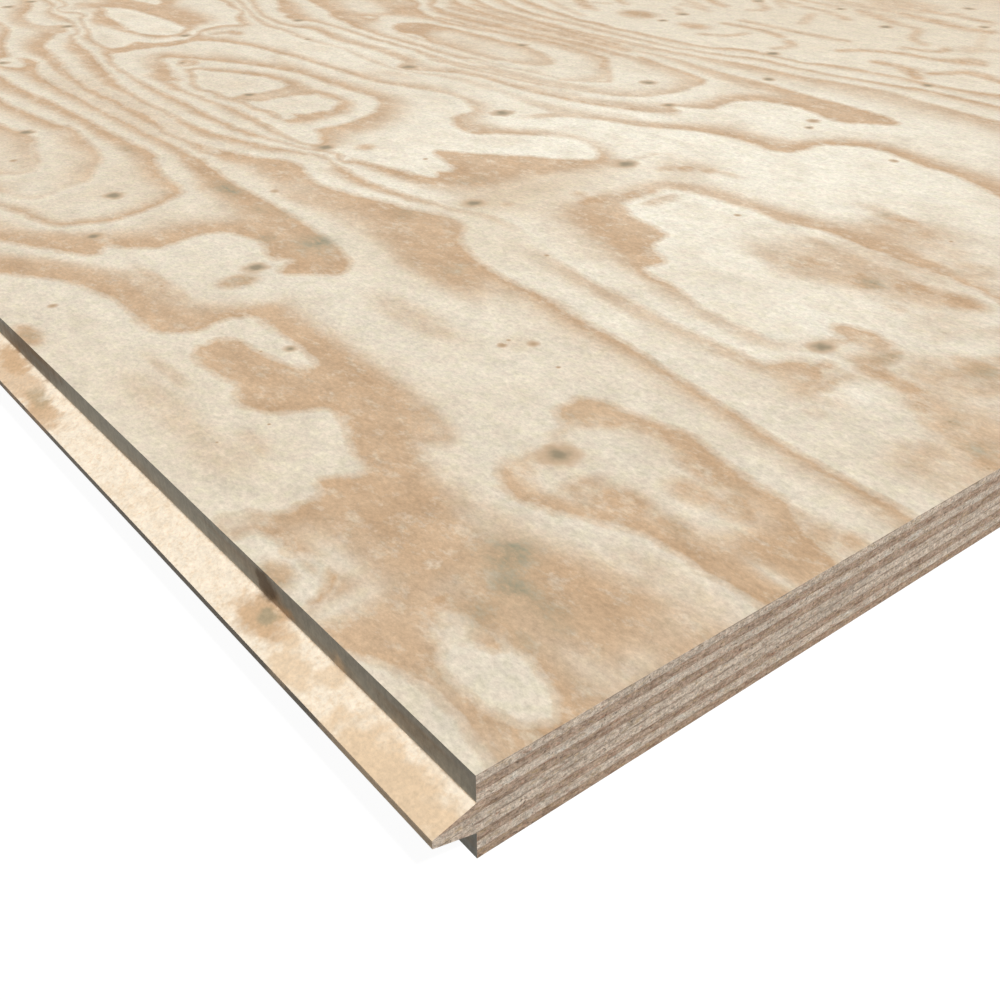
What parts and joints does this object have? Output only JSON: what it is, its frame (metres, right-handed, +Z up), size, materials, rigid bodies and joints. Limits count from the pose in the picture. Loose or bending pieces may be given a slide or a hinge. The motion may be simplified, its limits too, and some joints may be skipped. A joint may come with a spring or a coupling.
{
  "type": "tongued and grooved plywood sheet",
  "caption": "Flat softwood plywood sheet of cross-laid veneers, with a tapered tongue along one long side and a matching groove along the other, for floors, roofs and walls.",
  "frame": {"origin": "on the underside, in the middle of the sheet's overall length and overall width (tongue included)", "axes": "+Z up through the thickness, +Y along the sheet with the face grain, -X out of the tongue and +X out of the groove"},
  "size_m": [1.2194, 2.44, 0.021],
  "materials": {
    "back_veneer": "matte",
    "lower_cross_veneer": "matte",
    "lower_long_veneer": "matte",
    "lower_inner_cross_veneer": "matte",
    "core_veneer": "matte",
    "upper_inner_cross_veneer": "matte",
    "upper_long_veneer": "matte",
    "upper_cross_veneer": "matte",
    "face_veneer": "matte"
  },
  "bodies": {
    "root": {"back_veneer": "back_veneer", "lower_cross_veneer": "lower_cross_veneer", "lower_long_veneer": "lower_long_veneer", "lower_inner_cross_veneer": "lower_inner_cross_veneer", "core_veneer": "core_veneer", "upper_inner_cross_veneer": "upper_inner_cross_veneer", "upper_long_veneer": "upper_long_veneer", "upper_cross_veneer": "upper_cross_veneer", "face_veneer": "face_veneer"}
  },
  "joints": []
}
